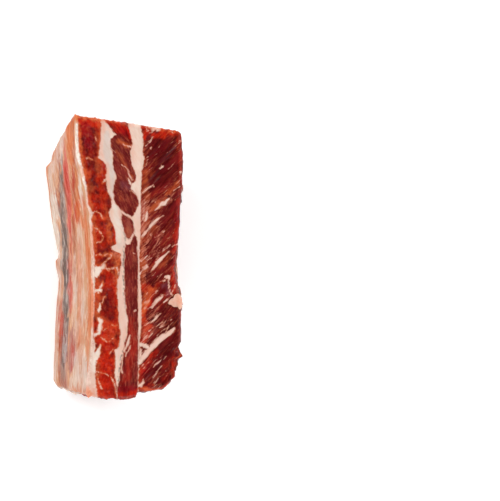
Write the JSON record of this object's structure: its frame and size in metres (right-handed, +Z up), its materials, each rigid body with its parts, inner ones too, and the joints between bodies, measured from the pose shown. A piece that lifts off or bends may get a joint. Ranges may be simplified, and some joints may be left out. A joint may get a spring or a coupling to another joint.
{
  "type": "raw beef short rib",
  "caption": "Raw beef short rib with the rib bone inside, sawn square, lying on one cut face with layered meat and fat on the other.",
  "frame": {"origin": "middle of the underside, on the surface that the rib lies on", "axes": "+Y along the rib bone towards the end that is sawn askew, +X from the bone side to the outer side, +Z up to the layered cut face"},
  "size_m": [0.0748, 0.1497, 0.0533],
  "materials": {
    "membrane": "thin damp skin over the rib, cream to pink with a grey streak",
    "bone": "sawn bone, cream rim with a pink porous middle",
    "rib_meat": "raw meat between the ribs, bright red and coarse grained, damp",
    "fat": "raw fat, cream white, waxy and damp",
    "dark_meat": "raw meat, dark red brown, fibres along the rib, damp",
    "outer_meat": "raw meat, deep maroon with slanting streaks of fat, damp"
  },
  "bodies": {
    "root": {"bone_side_membrane": "membrane", "rib_bone": "bone", "rib_meat_upper": "rib_meat", "rib_meat_lower": "rib_meat", "inner_fat": "fat", "middle_muscle": "dark_meat", "outer_fat_seam": "fat", "outer_muscle": "outer_meat"}
  },
  "joints": []
}
